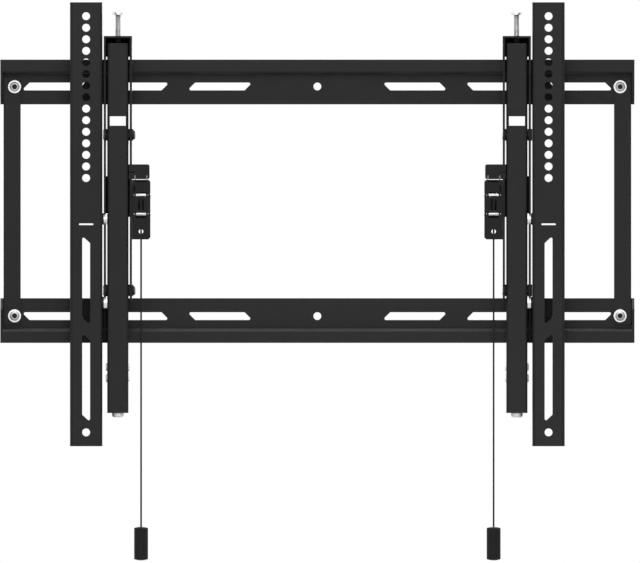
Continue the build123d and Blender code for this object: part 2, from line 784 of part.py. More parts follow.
with BuildPart() as latch_guides:
    guide_head_start = latch_front + latch_gap
    with BuildSketch(arm_front(wall_rear)):
        with Locations(*[(0, z) for z in guide_screw_z]):
            Circle(guide_screw_shank / 2)
    extrude(amount=guide_head_start - wall_rear)
    with BuildSketch(arm_front(guide_head_start)):
        with Locations(*[(0, z) for z in guide_screw_z]):
            Circle(guide_screw_head / 2)
    extrude(amount=guide_screw_head_height)
    fillet(latch_guides.faces().group_by(Axis.Y)[0].edges(), guide_screw_head_height * button_share)

# Release slider: a folded cover with a tongue back to the latch bar and a flap that holds the cord
with BuildPart() as release_slider:
    slider_middle = (slider_start + slider_end) / 2
    with BuildSketch(arm_front(slider_plate_rear)) as slider_face:
        outline(
            (slider_start, slider_bottom), (slider_end, slider_bottom),
            (slider_end, slider_top), (slider_start, slider_top),
        )
        fillet(nearest(slider_face, (slider_end, slider_top)), slider_corner)
        chamfer(nearest(slider_face, (slider_end, slider_bottom)), slider_chamfer)
    extrude(amount=slider_sheet)
    side_top = slider_top - slider_corner
    side_bottom = slider_bottom + slider_chamfer
    for u in (slider_start + slider_sheet, slider_end):
        with BuildSketch(arm_side(u)):
            with Locations(((slider_rear + frame_front) / 2, (side_top + side_bottom) / 2)):
                Rectangle(slider_depth, side_top - side_bottom)
        extrude(amount=slider_sheet)
    with BuildSketch(arm_level(slider_top)):
        shelf_end = slider_end - slider_corner
        with Locations(((slider_start + shelf_end) / 2, slider_depth / 2 - frame_front)):
            Rectangle(shelf_end - slider_start, slider_depth)
        for u in rod_places:
            with Locations((u, -cord_depth)):
                Circle(rod_diameter / 2 + rod_play, mode=Mode.SUBTRACT)
    extrude(amount=-slider_sheet)
    # Tongue along the frame's wall, and its foot on the latch bar's arm
    with BuildSketch(arm_side(slider_start + slider_sheet)):
        with Locations(((latch_front + slider_rear) / 2, 0)):
            Rectangle(slider_rear - latch_front, latch_arm_height)
    extrude(amount=slider_sheet)
    with BuildSketch(arm_front(latch_front)):
        with Locations(((slider_start + latch_arm_end) / 2, 0)):
            Rectangle(latch_arm_end - slider_start, latch_arm_height)
        with Locations((joint_screw_u, 0)):
            Circle(joint_screw_shank / 2, mode=Mode.SUBTRACT)
    extrude(amount=slider_sheet)
    # Windows over the cross pins, the groove with its flap folded back, and the sight hole
    with BuildSketch(arm_front(slider_plate_rear)):
        for z in cross_pin_z:
            with Locations((cord_u, z)):
                Rectangle(cross_window_width, cross_window_height)
            with Locations((slider_start + 2 * slider_sheet, z), (slider_end - 2 * slider_sheet, z)):
                Rectangle(end_window_width, end_window_height)
        with Locations((cord_u, (groove_top + groove_bottom) / 2)):
            Rectangle(groove_width, groove_top - groove_bottom)
        with Locations((cord_u, sight_hole_z)):
            Circle(sight_hole / 2)
    extrude(amount=slider_sheet, mode=Mode.SUBTRACT)
    with BuildSketch(arm_level(groove_top)):
        with Locations((cord_u, slider_depth / 2 - frame_front)):
            Rectangle(groove_width, slider_depth)
        with Locations((cord_u, -cord_depth)):
            Circle(cord_diameter / 2 + cord_hole_play, mode=Mode.SUBTRACT)
    extrude(amount=slider_sheet)
    with BuildSketch(arm_side(slider_end)):
        with Locations(*[(cross_pin_depth, z) for z in cross_pin_z]):
            Circle(cross_pin_diameter / 2)
    extrude(amount=slider_end - slider_start, mode=Mode.SUBTRACT)

with BuildPart() as slider_screw:
    head_start = latch_front + slider_sheet
    with BuildSketch(arm_front(latch_rear)):
        with Locations((joint_screw_u, 0)):
            Circle(joint_screw_shank / 2)
    extrude(amount=head_start - latch_rear)
    with BuildSketch(arm_front(head_start)):
        with Locations((joint_screw_u, 0)):
            Circle(joint_screw_head / 2)
    extrude(amount=joint_screw_head_height)
    fillet(slider_screw.faces().sort_by(Axis.Y)[0].edges(), joint_screw_head_height * button_share)

with BuildPart() as cross_pins:
    cross_places = [(cross_pin_depth, z) for z in cross_pin_z]
    stud(slider_end + cross_pin_overhang, cross_places, cross_pin_diameter,
         slider_end + cross_pin_overhang - slider_start)
    fillet(cross_pins.faces().group_by(Axis.X)[-1].edges(), cross_pin_overhang * dome_share)

# Guide rods under the tab, each with a spring that pushes the slider up against the tab
with BuildPart() as guide_rods:
    with BuildSketch(arm_level(shelf_top)):
        with Locations(*[(u, -cord_depth) for u in rod_places]):
            Circle(rod_diameter / 2)
    extrude(amount=rod_seat_z - shelf_top)
    for top, height in ((shelf_top, rod_head_height), (rod_seat_z, -rod_head_height)):
        with BuildSketch(arm_level(top)):
            with Locations(*[(u, -cord_depth) for u in rod_places]):
                Circle(rod_head / 2)
        extrude(amount=height)

with BuildPart() as return_springs:
    with BuildSketch(arm_level(rod_seat_z)):
        with Locations(*[(u, -cord_depth) for u in rod_places]):
            Circle(spring_diameter / 2)
            Circle(spring_diameter / 2 - spring_wire, mode=Mode.SUBTRACT)
    extrude(amount=slider_top - slider_sheet - spring_gap - rod_seat_z)

# Pull cord with the knot over the flap, and its handle
with BuildPart() as pull_cord:
    with BuildSketch(arm_level(cord_end)):
        with Locations((cord_u, -cord_depth)):
            Circle(cord_diameter / 2)
    extrude(amount=knot_z - cord_end)
    with Locations((cord_u - arm_axis, -cord_depth, knot_z)):
        Sphere(knot_diameter / 2)

with BuildPart() as pull_handle:
    with BuildSketch(arm_level(handle_top)):
        with Locations((cord_u, -cord_depth)):
            Circle(handle_diameter / 2)
    extrude(amount=-handle_length)
    dome_radius = (handle_diameter ** 2 / 4 + handle_crown ** 2) / (2 * handle_crown)
    for z in (handle_top - dome_radius, handle_top - handle_length + dome_radius):
        with Locations((cord_u - arm_axis, -cord_depth, z)):
            Sphere(dome_radius, mode=Mode.INTERSECT)
    fillet(pull_handle.edges().filter_by(GeomType.CIRCLE), handle_edge)
    with BuildSketch(arm_level(handle_top)):
        with Locations((cord_u, -cord_depth)):
            Circle(cord_diameter / 2 + cord_socket_play)
    extrude(amount=-cord_socket_depth, mode=Mode.SUBTRACT)

wall_pieces = {
    "upper_rail": upper_rail,
    "lower_rail": lower_rail,
    "left_side_bar": left_side_bar,
    "right_side_bar": right_side_bar,
    "plate_screws": plate_screws,
}
arm_pieces = {
    "screen_bar": screen_bar,
    "tilt_channel": tilt_channel,
    "hook_frame": hook_frame,
    "pivot_pin": pivot_pin,
    "guide_pin": guide_pin,
    "pin_washers": pin_washers,
    "joint_bolts": joint_bolts,
    "joint_nuts": joint_nuts,
    "joint_spacers": joint_spacers,
    "joint_washers": joint_washers,
    "level_screw": level_screw,
    "level_nut": level_nut_part,
    "glide_shoe": glide_shoe,
    "channel_plug": channel_plug,
    "plug_screws": plug_screws,
    "end_screw": end_screw,
    "latch_bar": latch_bar,
    "latch_guides": latch_guides,
    "release_slider": release_slider,
    "slider_screw": slider_screw,
    "cross_pins": cross_pins,
    "guide_rods": guide_rods,
    "return_springs": return_springs,
    "pull_cord": pull_cord,
    "pull_handle": pull_handle,
}

right_arm_only = {
    "pivot_pin": right_pivot_pin,
    "guide_pin": right_guide_pin,
    "pin_washers": right_pin_washers,
}

os.makedirs("parts", exist_ok=True)
for name, piece in wall_pieces.items():
    piece.part.label = name
    export_step(piece.part, f"parts/{name}.step")
for name, piece in arm_pieces.items():
    with BuildPart() as right_piece:
        mirror(right_arm_only.get(name, piece).part, about=Plane.YZ)
    piece.part.label = f"left_{name}"
    right_piece.part.label = f"right_{name}"
    export_step(piece.part, f"parts/left_{name}.step")
    export_step(right_piece.part, f"parts/right_{name}.step")
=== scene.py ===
import json
import math
from collections import namedtuple

import bmesh
import bpy
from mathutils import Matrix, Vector


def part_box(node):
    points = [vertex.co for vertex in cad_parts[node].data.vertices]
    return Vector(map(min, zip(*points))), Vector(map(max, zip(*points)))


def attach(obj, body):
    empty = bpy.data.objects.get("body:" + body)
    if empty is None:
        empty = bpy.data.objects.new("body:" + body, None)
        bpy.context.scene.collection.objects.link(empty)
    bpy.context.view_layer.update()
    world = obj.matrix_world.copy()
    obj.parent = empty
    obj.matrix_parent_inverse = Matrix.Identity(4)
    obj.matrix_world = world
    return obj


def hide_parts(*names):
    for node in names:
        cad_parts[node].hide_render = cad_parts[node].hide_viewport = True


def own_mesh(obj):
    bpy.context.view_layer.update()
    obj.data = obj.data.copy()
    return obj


# Dressing of the tilting screen bracket: finishes for every piece, threaded levelling screws, coil springs,
# pull cords with their knots, the sliders' grooves and webs, floor, light and camera.
# All in metres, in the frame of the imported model.
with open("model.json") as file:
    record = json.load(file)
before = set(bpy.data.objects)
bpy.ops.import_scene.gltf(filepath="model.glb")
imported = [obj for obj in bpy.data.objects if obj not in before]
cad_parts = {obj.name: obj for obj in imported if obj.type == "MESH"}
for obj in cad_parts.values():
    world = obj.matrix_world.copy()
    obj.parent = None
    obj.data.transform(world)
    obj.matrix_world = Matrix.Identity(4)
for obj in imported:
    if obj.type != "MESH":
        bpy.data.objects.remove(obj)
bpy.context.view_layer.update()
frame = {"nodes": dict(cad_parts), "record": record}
nodes = frame["nodes"]
MM = 0.001

# Arms: their names and sides, and how far their axes lie from the middle
SIDES = {"left": -1, "right": 1}
ARM_AXIS = 215.8 * MM

# Levelling screw: from the shoe that it stands on up to its button head with a hexagon socket
SCREW_DEPTH = 15.25 * MM
SCREW_LOW = 156.9 * MM
SCREW_TOP = 206.0 * MM
SCREW_SIDES = 24
SHANK_RADIUS = 2.95 * MM
HEAD_RADIUS = 6.3 * MM
HEAD_HEIGHT = 4.2 * MM
HEAD_CHAMFER = 0.2 * MM
HEAD_ROUNDING = 2.1 * MM
HEAD_ROUNDING_STEPS = 6
SOCKET_FLAT = 2.5 * MM
SOCKET_DEPTH = 3.1 * MM
SOCKET_CHAMFER = 0.15 * MM
THREAD_PITCH = 1.0 * MM
THREAD_DEPTH = 0.3 * MM
THREAD_TURN_RINGS = 6
THREAD_LEAD = 3.0 * MM
THREAD_LEAD_DEPTH = 0.6 * THREAD_DEPTH
THREAD_HEAD_GAP = 0.1 * MM

# Pull cord: its place beside the arm's axis, the heights that it passes, and the knot at its top
CORD_OFFSET = 25.15 * MM
CORD_DEPTH = 44.5 * MM
CORD_RADIUS = 0.95 * MM
CORD_TOP = 4.75 * MM
CORD_END = -360.1 * MM
CORD_HEIGHTS = (CORD_TOP, -40.0 * MM, -120.0 * MM, -200.0 * MM, -280.0 * MM, CORD_END)
CORD_ROUNDNESS = 4
KNOT_SIZE = 0.40 * MM
KNOT_RISE = 1.6 * KNOT_SIZE
KNOT_RADIUS = 0.62 * MM
KNOT_STEPS = 96
KNOT_SIDES = 10

# Return springs: one on each side of the cord; the latch shortens them by its travel, but these coils keep
# one length
SPRING_SPREAD = 6.3 * MM
SPRING_RADIUS = 1.5 * MM
SPRING_WIRE = 0.3 * MM
SPRING_LOW = -8.0 * MM
SPRING_HIGH = 21.7 * MM
SPRING_TURNS = 15
SPRING_END_TURNS = 1.5
SPRING_TURN_STEPS = 18
SPRING_SIDES = 8

# Slider: the web between the two slits in its face
WEB_WIDTH = 2.1 * MM
WEB_SHEET = 1.2 * MM
WEB_TOP = 1.6 * MM
WEB_BOTTOM = -9.6 * MM
WEB_EDGE = 0.25 * MM
WEB_EDGE_STEPS = 3

# Slider: pressed grooves in its face, by distance from the cord towards the arm, width, and ends in Z
GROOVES = (
    (0.0, 10.9 * MM, -18.2 * MM, -16.2 * MM),
    (0.0, 10.9 * MM, 8.3 * MM, 9.4 * MM),
    (7.25 * MM, 1.2 * MM, 9.4 * MM, 16.4 * MM),
    (0.0, 11.0 * MM, 20.5 * MM, 21.7 * MM),
)
GROOVE_DEPTH = 1.0 * MM
WELD = 0.002 * MM

# Shading: the angle from which an edge is sharp, on new pieces and on the grooved sliders
PIECE_ANGLE = math.radians(40.0)
SLIDER_ANGLE = math.radians(30.0)

# Caps of the left arm's pins: length, black band up to the crown, and the share of the zinc's tone on both
PIN_CAP = 2.6 * MM
CAP_BAND = 0.9 * MM
CAP_TONE = 0.03
CROWN_TONE = 0.6

# Wall plate's screws: the flange's radius, and the share of the zinc's tone from the socket out to the
# flange, as painted shade in the socket and a painted dark reflection on the head
PLATE_SCREW_FLANGE = 7.0 * MM
PLATE_SCREW_SHADE_BANDS = (
    (0.0, 0.04),
    (2.65 * MM, 0.04),
    (2.9 * MM, 0.66),
    (4.4 * MM, 0.72),
    (4.9 * MM, 1.0),
    (PLATE_SCREW_FLANGE, 1.0),
)

# Braid of the cord: strands each way round it, length of a full wave, and height of the bump
BRAID_STRANDS = 4.0
BRAID_PITCH = 1.6 * MM
BRAID_HEIGHT = 0.12 * MM
BRAID_STRENGTH = 0.6

# Noise in the finishes: features per metre, and the middle of its range, which tone and roughness follow
NOISE_DETAIL = 2.0
NOISE_MIDDLE = (0.3, 0.7)
COAT_TONE_SCALE = 45.0
COAT_ROUGH_SCALE = 120.0
STEEL_GRAIN_SCALE = 1700.0
PLASTIC_GRAIN_SCALE = 2600.0
NYLON_GRAIN_SCALE = 2200.0
PLATE_TONE_SCALE = 160.0
PLATE_TONE_DETAIL = 3.0
PLATE_ROUGH_SCALE = 420.0
PLATE_GRAIN_SCALE = 1500.0
PLATE_GRAIN_STRENGTH = 0.05
GRAIN_HEIGHT = 0.2 * MM
EDGE_SAMPLES = 4

# Painted shade in hollows, which darkens a finish's colour: their reach, how open they are where darkest and
# where they end, the share of the tone that is left in them, and whether only the piece's own form counts
HollowShade = namedtuple("HollowShade", "reach shut clear floor own")
CLEFT_SHADE = HollowShade(reach=6.0 * MM, shut=0.15, clear=0.65, floor=0.5, own=False)
RECESS_SHADE = HollowShade(reach=4.0 * MM, shut=0.52, clear=0.84, floor=0.03, own=True)
PIN_SEAT_SHADE = HollowShade(reach=1.6 * MM, shut=0.20, clear=0.55, floor=0.35, own=False)
HOLLOW_SHADE_SAMPLES = 8

# Zinc: its common tones, roughness and edge rounding
ZINC_TONES = ((0.62, 0.63, 0.64), (0.68, 0.68, 0.67))
ZINC_ROUGH = (0.54, 0.64)
ZINC_EDGE = 0.25 * MM

# Floor and world: the floor is pale up to its near distance and white from its far one
FLOOR_Z = -0.62
FLOOR_SIZE = 12.0
FLOOR_NEAR = 0.5
FLOOR_FAR = 1.4
FLOOR_TONE = 0.86
WORLD_LIGHT = 0.35
WORLD_WHITE = 1.0

# Camera: the photograph's frame is 640 x 563 pixels and 692.5 mm wide at the bracket
FRAME_WIDTH = 692.5 * MM
FRAME_CENTRE = Vector((2.86 * MM, -35.0 * MM, -86.9 * MM))
CAMERA_LENS = 1300.0
CAMERA_SENSOR = 36.0
CAMERA_REACH = 100.0


def first_node(tree, kind):
    """The node of a kind that a new tree starts with."""
    return next(node for node in tree.nodes if node.type == kind)


def new_material(name):
    """A material with its node tree, and the principled shader in it."""
    material = bpy.data.materials.new(name)
    material.use_nodes = True
    tree = material.node_tree
    return material, tree, first_node(tree, "BSDF_PRINCIPLED")


def object_place(tree):
    """A point's place in the piece's own coordinates."""
    return tree.nodes.new("ShaderNodeTexCoord").outputs["Object"]


def place_parts(tree):
    """X, Y and Z in the piece's own coordinates."""
    parts = tree.nodes.new("ShaderNodeSeparateXYZ")
    tree.links.new(object_place(tree), parts.inputs["Vector"])
    return parts.outputs


def math_node(tree, operation, first, second=None):
    """The result of a math node on numbers or sockets."""
    node = tree.nodes.new("ShaderNodeMath")
    node.operation = operation
    for socket, value in zip(node.inputs, (first, second)):
        if isinstance(value, (int, float)):
            socket.default_value = value
        elif value is not None:
            tree.links.new(value, socket)
    return node.outputs["Value"]


def vector_length(tree, vector):
    """The length of a vector."""
    node = tree.nodes.new("ShaderNodeVectorMath")
    node.operation = "LENGTH"
    tree.links.new(vector, node.inputs[0])
    return node.outputs["Value"]


def map_range(tree, source, start, end, low, high, interpolation="LINEAR"):
    """A value taken from start and end to low and high, and held there beyond them."""
    node = tree.nodes.new("ShaderNodeMapRange")
    node.interpolation_type = interpolation
    for socket, value in (("From Min", start), ("From Max", end), ("To Min", low), ("To Max", high)):
        node.inputs[socket].default_value = value
    tree.links.new(source, node.inputs["Value"])
    return node.outputs["Result"]


def colour_ramp(tree, source, stops):
    """A colour that a value picks from stops, each a position and a colour."""
    node = tree.nodes.new("ShaderNodeValToRGB")
    elements = node.color_ramp.elements
    for element, (position, colour) in zip(elements, (stops[0], stops[-1])):
        element.position = position
        element.color = (*colour, 1.0)
    for position, colour in stops[1:-1]:
        elements.new(position).color = (*colour, 1.0)
    tree.links.new(source, node.inputs["Fac"])
    return node.outputs["Color"]


def noise(tree, scale, detail=NOISE_DETAIL):
    """Noise in the piece's own coordinates, in features per metre."""
    texture = tree.nodes.new("ShaderNodeTexNoise")
    texture.inputs["Scale"].default_value = scale
    texture.inputs["Detail"].default_value = detail
    tree.links.new(object_place(tree), texture.inputs["Vector"])
    return texture.outputs["Fac"]


def tones(tree, shader, source, dark, light):
    """Base colour that drifts between two near tones."""
    start, end = NOISE_MIDDLE
    colour = colour_ramp(tree, source, ((start, dark), (end, light)))
    tree.links.new(colour, shader.inputs["Base Color"])


def roughness(tree, shader, source, rough):
    """Roughness that drifts between two near values."""
    tree.links.new(map_range(tree, source, *NOISE_MIDDLE, *rough), shader.inputs["Roughness"])


def bumped(tree, shader, height, strength, distance, edge=0.0):
    """A bump of a height, over edges that are rounded by a small radius if one is given."""
    bump = tree.nodes.new("ShaderNodeBump")
    bump.inputs["Strength"].default_value = strength
    bump.inputs["Distance"].default_value = distance
    tree.links.new(height, bump.inputs["Height"])
    if edge:
        bevel = tree.nodes.new("ShaderNodeBevel")
        bevel.samples = EDGE_SAMPLES
        bevel.inputs["Radius"].default_value = edge
        tree.links.new(bevel.outputs["Normal"], bump.inputs["Normal"])
    tree.links.new(bump.outputs["Normal"], shader.inputs["Normal"])


def faded(tree, shader, share):
    """Base colour cut down to a share of itself."""
    source = shader.inputs["Base Color"].links[0].from_socket
    scaled = tree.nodes.new("ShaderNodeVectorMath")
    scaled.operation = "SCALE"
    tree.links.new(source, scaled.inputs["Vector"])
    tree.links.new(share, scaled.inputs["Scale"])
    tree.links.new(scaled.outputs["Vector"], shader.inputs["Base Color"])


def painted_hollow_shade(tree, shader, hollow_shade):
    """Painted shade: base colour that fades in hollows, of the piece's own or between pieces."""
    openness = tree.nodes.new("ShaderNodeAmbientOcclusion")
    openness.samples = HOLLOW_SHADE_SAMPLES
    openness.only_local = hollow_shade.own
    openness.inputs["Distance"].default_value = hollow_shade.reach
    share = map_range(tree, openness.outputs["AO"], hollow_shade.shut, hollow_shade.clear, hollow_shade.floor, 1.0)
    faded(tree, shader, share)


def coated(name, dark, light, rough, specular, grain_scale, grain_strength, edge, hollow_shade=CLEFT_SHADE):
    """A paint, coating or moulded plastic, with painted shade where pieces stand close together."""
    material, tree, shader = new_material(name)
    shader.inputs["Specular IOR Level"].default_value = specular
    tones(tree, shader, noise(tree, COAT_TONE_SCALE), dark, light)
    painted_hollow_shade(tree, shader, hollow_shade)
    roughness(tree, shader, noise(tree, COAT_ROUGH_SCALE), rough)
    bumped(tree, shader, noise(tree, grain_scale), grain_strength, GRAIN_HEIGHT, edge)
    return material


def plated(name, dark, light, rough, edge, hollow_shade=RECESS_SHADE):
    """A plated metal, with painted shade in its hollows unless none are given."""
    material, tree, shader = new_material(name)
    shader.inputs["Metallic"].default_value = 1.0
    tones(tree, shader, noise(tree, PLATE_TONE_SCALE, PLATE_TONE_DETAIL), dark, light)
    if hollow_shade:
        painted_hollow_shade(tree, shader, hollow_shade)
    roughness(tree, shader, noise(tree, PLATE_ROUGH_SCALE), rough)
    bumped(tree, shader, noise(tree, PLATE_GRAIN_SCALE), PLATE_GRAIN_STRENGTH, GRAIN_HEIGHT, edge)
    return material


def plate_screw_shaded_zinc(name, axis_x, axis_z):
    """The wall plate's screws: painted shade in the socket, a painted dark reflection on the head and the
    flange at full tone, in bands round each screw's axis.
    """
    material = plated(
        name, dark=(0.74, 0.75, 0.76), light=(0.80, 0.80, 0.79), rough=ZINC_ROUGH, edge=ZINC_EDGE,
        hollow_shade=None)
    tree = material.node_tree
    parts = place_parts(tree)
    offset = tree.nodes.new("ShaderNodeCombineXYZ")
    for part, axis in (("X", axis_x), ("Z", axis_z)):
        aside = math_node(tree, "SUBTRACT", math_node(tree, "ABSOLUTE", parts[part]), axis)
        tree.links.new(aside, offset.inputs[part])
    radius = vector_length(tree, offset.outputs["Vector"])
    shade_bands = [(place / PLATE_SCREW_FLANGE, (tone, tone, tone)) for place, tone in PLATE_SCREW_SHADE_BANDS]
    share = colour_ramp(tree, math_node(tree, "DIVIDE", radius, PLATE_SCREW_FLANGE), shade_bands)
    faded(tree, first_node(tree, "BSDF_PRINCIPLED"), share)
    return material


def capped_zinc(name, cap_start):
    """A zinc pin with a black cap at its end towards +X, which turns lighter up to its crown."""
    material = plated(name, *ZINC_TONES, rough=(0.34, 0.44), edge=ZINC_EDGE)
    tree = material.node_tree
    along = place_parts(tree)["X"]
    bare = math_node(tree, "LESS_THAN", along, cap_start)
    crown = map_range(tree, along, cap_start + CAP_BAND, cap_start + PIN_CAP, CAP_TONE, CROWN_TONE)
    faded(tree, first_node(tree, "BSDF_PRINCIPLED"), math_node(tree, "MAXIMUM", bare, crown))
    return material


def braided(name):
    """A braided cord along Z: two sets of strands wound opposite ways, read round the piece's own axis."""
    material, tree, shader = new_material(name)
    shader.inputs["Specular IOR Level"].default_value = 0.2
    shader.inputs["Roughness"].default_value = 0.85
    parts = place_parts(tree)
    angle = math_node(tree, "ARCTAN2", parts["Y"], parts["X"])
    around = math_node(tree, "MULTIPLY", angle, BRAID_STRANDS)
    along = math_node(tree, "MULTIPLY", parts["Z"], 2 * math.pi / BRAID_PITCH)
    one_way = math_node(tree, "SINE", math_node(tree, "ADD", around, along))
    other_way = math_node(tree, "SINE", math_node(tree, "SUBTRACT", around, along))
    weave = math_node(tree, "MAXIMUM", one_way, other_way)
    bumped(tree, shader, weave, BRAID_STRENGTH, BRAID_HEIGHT)
    colour = colour_ramp(tree, weave, ((0.0, (0.007, 0.007, 0.007)), (1.0, (0.020, 0.020, 0.021))))
    tree.links.new(colour, shader.inputs["Base Color"])
    return material


# Finishes of the record's material slots; all but the cord carry painted shade in hollows
finishes = {
    "black_steel": coated(
        "black_steel", dark=(0.0114, 0.0114, 0.0117), light=(0.0127, 0.0127, 0.0130), rough=(0.28, 0.36),
        specular=0.16, grain_scale=STEEL_GRAIN_SCALE, grain_strength=0.08, edge=0.5 * MM),
    "zinc_steel": plated("zinc_steel", *ZINC_TONES, rough=ZINC_ROUGH, edge=ZINC_EDGE),
    "black_plastic": coated(
        "black_plastic", dark=(0.0098, 0.0098, 0.0100), light=(0.0110, 0.0110, 0.0112), rough=(0.52, 0.60),
        specular=0.12, grain_scale=PLASTIC_GRAIN_SCALE, grain_strength=0.05, edge=0.4 * MM),
    "black_nylon": coated(
        "black_nylon", dark=(0.008, 0.008, 0.008), light=(0.010, 0.010, 0.010), rough=(0.55, 0.65),
        specular=0.20, grain_scale=NYLON_GRAIN_SCALE, grain_strength=0.06, edge=0.2 * MM),
    "cord": braided("cord"),
    "spring_steel": plated(
        "spring_steel", dark=(0.10, 0.10, 0.11), light=(0.14, 0.14, 0.14), rough=(0.30, 0.40), edge=0.0),
}

# Finishes of single pieces that look different from their slot; all but the plug screws' and the plate
# screws' zinc carry painted shade in hollows
# Painted shade between pieces, down to no less than 0.6 of the tone
frame_finish = coated(
    "frame_steel", dark=(0.0114, 0.0114, 0.0117), light=(0.0128, 0.0128, 0.0131), rough=(0.40, 0.48),
    specular=0.12, grain_scale=STEEL_GRAIN_SCALE, grain_strength=0.10, edge=1.1 * MM,
    hollow_shade=CLEFT_SHADE._replace(floor=0.6))
slider_finish = coated(
    "slider_steel", dark=(0.0126, 0.0126, 0.0128), light=(0.0138, 0.0138, 0.0140), rough=(0.50, 0.58),
    specular=0.10, grain_scale=STEEL_GRAIN_SCALE, grain_strength=0.10, edge=0.8 * MM)
# Painted shade: a near-black finish for the faces of the slider's grooves
groove_shade_finish = coated(
    "groove_shade_steel", dark=(0.0020, 0.0020, 0.0021), light=(0.0030, 0.0030, 0.0031), rough=(0.60, 0.70),
    specular=0.04, grain_scale=STEEL_GRAIN_SCALE, grain_strength=0.10, edge=0.0)
# Painted shade in the thread's hollows, down to no less than half the tone
thread_finish = plated(
    "thread_steel", dark=(0.42, 0.42, 0.42), light=(0.50, 0.50, 0.50), rough=(0.40, 0.50), edge=0.0,
    hollow_shade=RECESS_SHADE._replace(floor=0.50))
# Painted shade on the cross pins where they sit close to other pieces
pin_finish = plated(
    "pin_steel", dark=(0.74, 0.74, 0.75), light=(0.80, 0.80, 0.80), rough=(0.40, 0.50), edge=0.0,
    hollow_shade=PIN_SEAT_SHADE)
bright_finish = plated(
    "bright_zinc", dark=(0.78, 0.78, 0.79), light=(0.84, 0.84, 0.83), rough=(0.32, 0.40), edge=ZINC_EDGE)
# Painted light: a lighter zinc tone for the plug screws, standing in for light on their shaded sides; their
# high roughness is their own
painted_light_dull_finish = plated(
    "painted_light_dull_zinc", dark=(0.86, 0.86, 0.87), light=(0.92, 0.92, 0.91), rough=(0.82, 0.92), edge=ZINC_EDGE,
    hollow_shade=None)
capped_finish = capped_zinc("capped_zinc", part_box("left_pivot_pin")[1][0] - PIN_CAP)
plate_screws_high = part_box("plate_screws")[1]
# Painted shade in the plate screws' sockets and a painted dark reflection on their heads
plate_screw_shaded_finish = plate_screw_shaded_zinc(
    "plate_screw_shaded_zinc", plate_screws_high[0] - PLATE_SCREW_FLANGE, plate_screws_high[2] - PLATE_SCREW_FLANGE)

# Every node takes its slot's finish, and then some take their own
for entry in frame["record"]["subparts"]:
    mesh = nodes[entry["node"]].data
    mesh.materials.clear()
    mesh.materials.append(finishes[entry["material_slot"]])
own_finishes = {
    "plate_screws": plate_screw_shaded_finish,
    "left_pivot_pin": capped_finish,
    "left_guide_pin": capped_finish,
}
for side in SIDES:
    own_finishes[f"{side}_hook_frame"] = frame_finish
    own_finishes[f"{side}_cross_pins"] = pin_finish
    own_finishes[f"{side}_joint_spacers"] = bright_finish
    own_finishes[f"{side}_plug_screws"] = painted_light_dull_finish
for node_name, finish in own_finishes.items():
    nodes[node_name].data.materials[0] = finish


def add_object(name, data, place=(0.0, 0.0, 0.0)):
    """A new object at a place in the scene."""
    thing = bpy.data.objects.new(name, data)
    thing.location = place
    bpy.context.scene.collection.objects.link(thing)
    return thing


def new_mesh(name, points, faces, finish):
    """A mesh of points and faces with one finish."""
    mesh = bpy.data.meshes.new(name)
    mesh.from_pydata(points, [], faces)
    mesh.validate()
    mesh.materials.append(finish)
    return mesh


def add_piece(name, mesh, body, place=(0.0, 0.0, 0.0), sharp_angle=PIECE_ANGLE):
    """A new smooth piece, which moves with a body."""
    mesh.shade_smooth()
    mesh.set_sharp_from_angle(angle=sharp_angle)
    piece = add_object(name, mesh, place)
    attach(piece, body)
    return piece


def lofted(rings):
    """Points and faces of a skin over rings with equal numbers of points, with caps at its ends."""
    count = len(rings[0])
    points = [point for ring in rings for point in ring]
    faces = []
    for i in range(len(rings) - 1):
        for j in range(count):
            k = (j + 1) % count
            faces.append((i * count + j, i * count + k, (i + 1) * count + k, (i + 1) * count + j))
    faces.append(tuple(reversed(range(count))))
    faces.append(tuple(range((len(rings) - 1) * count, len(rings) * count)))
    return points, faces


def tube(path, radius, sides):
    """Points and faces of a round tube along an open path of points."""
    angles = [2 * math.pi * k / sides for k in range(sides)]
    normal = (path[1] - path[0]).orthogonal()
    rings = []
    for i, point in enumerate(path):
        before = path[max(i - 1, 0)]
        after = path[min(i + 1, len(path) - 1)]
        tangent = (after - before).normalized()
        normal = (normal - tangent * normal.dot(tangent)).normalized()
        across = tangent.cross(normal)
        rings.append([point + (normal * math.cos(a) + across * math.sin(a)) * radius for a in angles])
    return lofted(rings)


def joined(forms):
    """Points and faces of several forms as one."""
    points = []
    faces = []
    for form_points, form_faces in forms:
        faces += [tuple(index + len(points) for index in face) for face in form_faces]
        points += form_points
    return points, faces


def thread_radii(z, angles):
    """The thread's radius at a height, for each angle round the screw, with a lead at its lower end."""
    lead = 1.0 - min(1.0, (z - SCREW_LOW) / THREAD_LEAD)
    radii = []
    for a in angles:
        turn = (z / THREAD_PITCH - a / (2 * math.pi)) % 1.0
        radii.append(SHANK_RADIUS - THREAD_DEPTH * abs(2 * turn - 1) - THREAD_LEAD_DEPTH * lead)
    return radii


